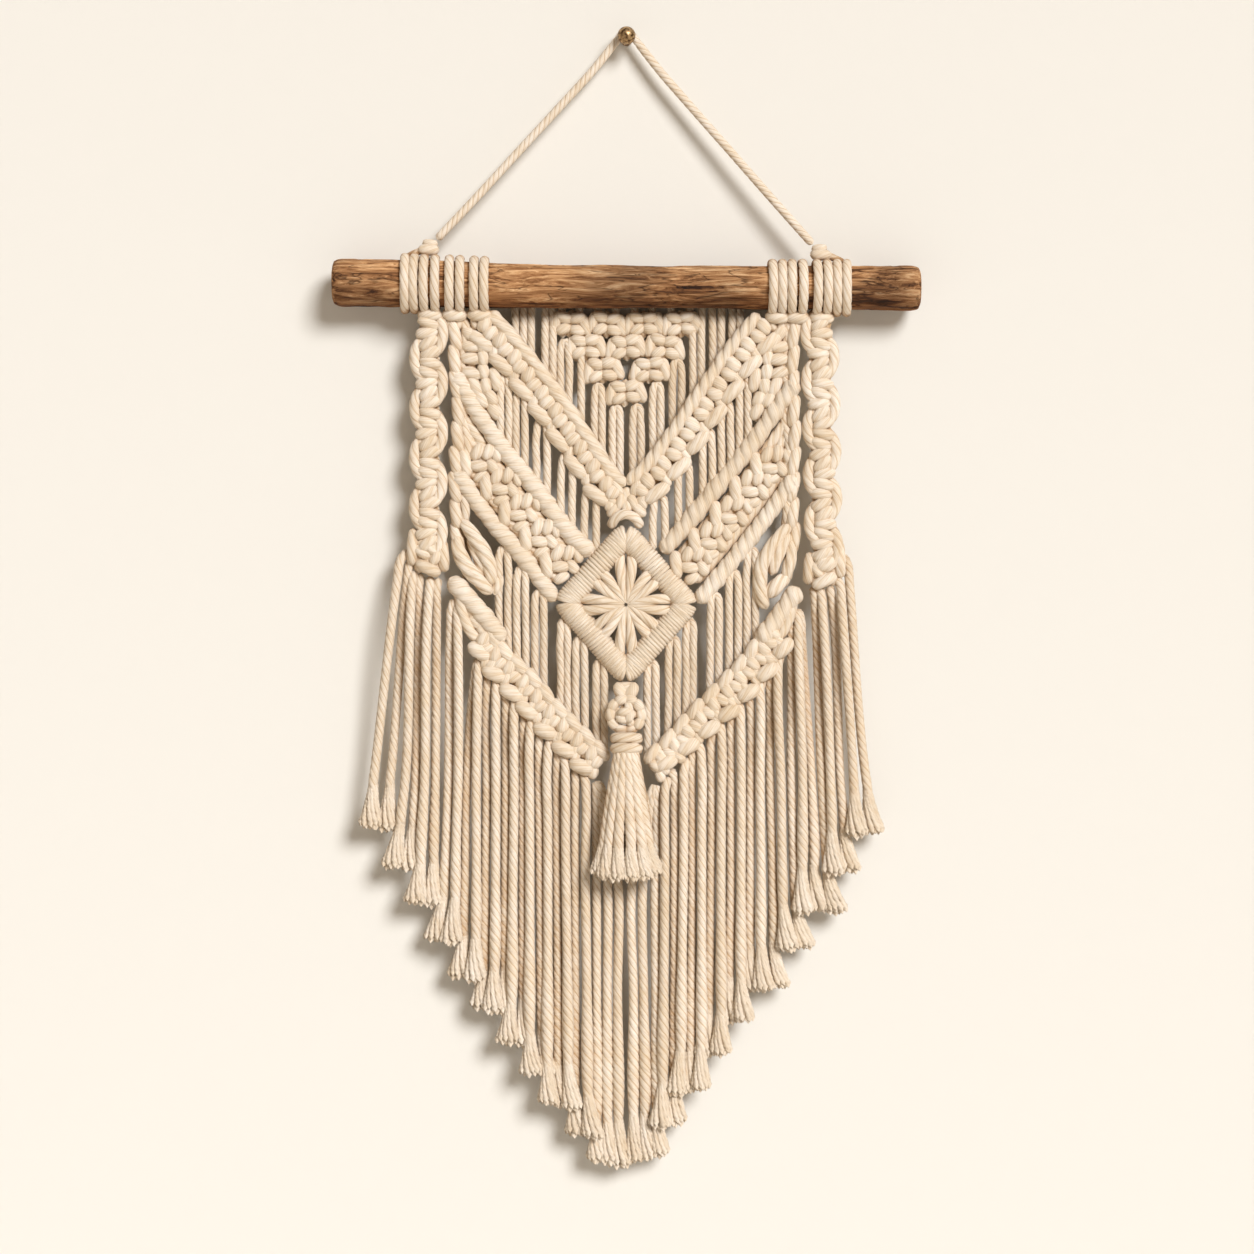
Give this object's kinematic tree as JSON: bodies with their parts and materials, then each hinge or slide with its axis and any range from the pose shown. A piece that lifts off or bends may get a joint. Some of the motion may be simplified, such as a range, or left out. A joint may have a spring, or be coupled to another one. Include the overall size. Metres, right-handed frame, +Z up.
{
  "type": "macrame wall hanging on a wooden rod with its wall peg",
  "caption": "Knotted cotton wall hanging with chevron bands, a wrapped diamond, a ball tassel and a stepped fringe, hung from a weathered wooden rod on a ball-headed peg.",
  "frame": {"origin": "middle of the peg's flat end, on the wall's surface", "axes": "+Z up the wall, +Y into the wall, +X to the right as seen from the front"},
  "size_m": [0.3288, 0.0415, 0.6388],
  "materials": {
    "rod": "weathered, dry, cracked along the grain",
    "wall_peg": "aged, mottled brown",
    "hanger_cord": "soft three-ply cotton rope",
    "hanger_hitch": "soft three-ply cotton rope",
    "side_braid": "knotted cotton rope",
    "inner_net": "knotted cotton rope",
    "chevron_panel": "knotted cotton rope",
    "diamond_medallion": "wrapped cotton cord",
    "lower_band": "knotted cotton rope with combed-out ends",
    "ball_tassel": "cotton rope with combed-out ends"
  },
  "bodies": {
    "root": {"rod": "rod", "wall_peg": "wall_peg", "hanger_cord": "hanger_cord", "hanger_hitch_left": "hanger_hitch", "hanger_hitch_right": "hanger_hitch", "side_braid_left": "side_braid", "side_braid_right": "side_braid", "inner_net": "inner_net", "chevron_panel": "chevron_panel", "diamond_medallion": "diamond_medallion", "lower_band_left": "lower_band", "lower_band_right": "lower_band", "ball_tassel": "ball_tassel"}
  },
  "joints": []
}
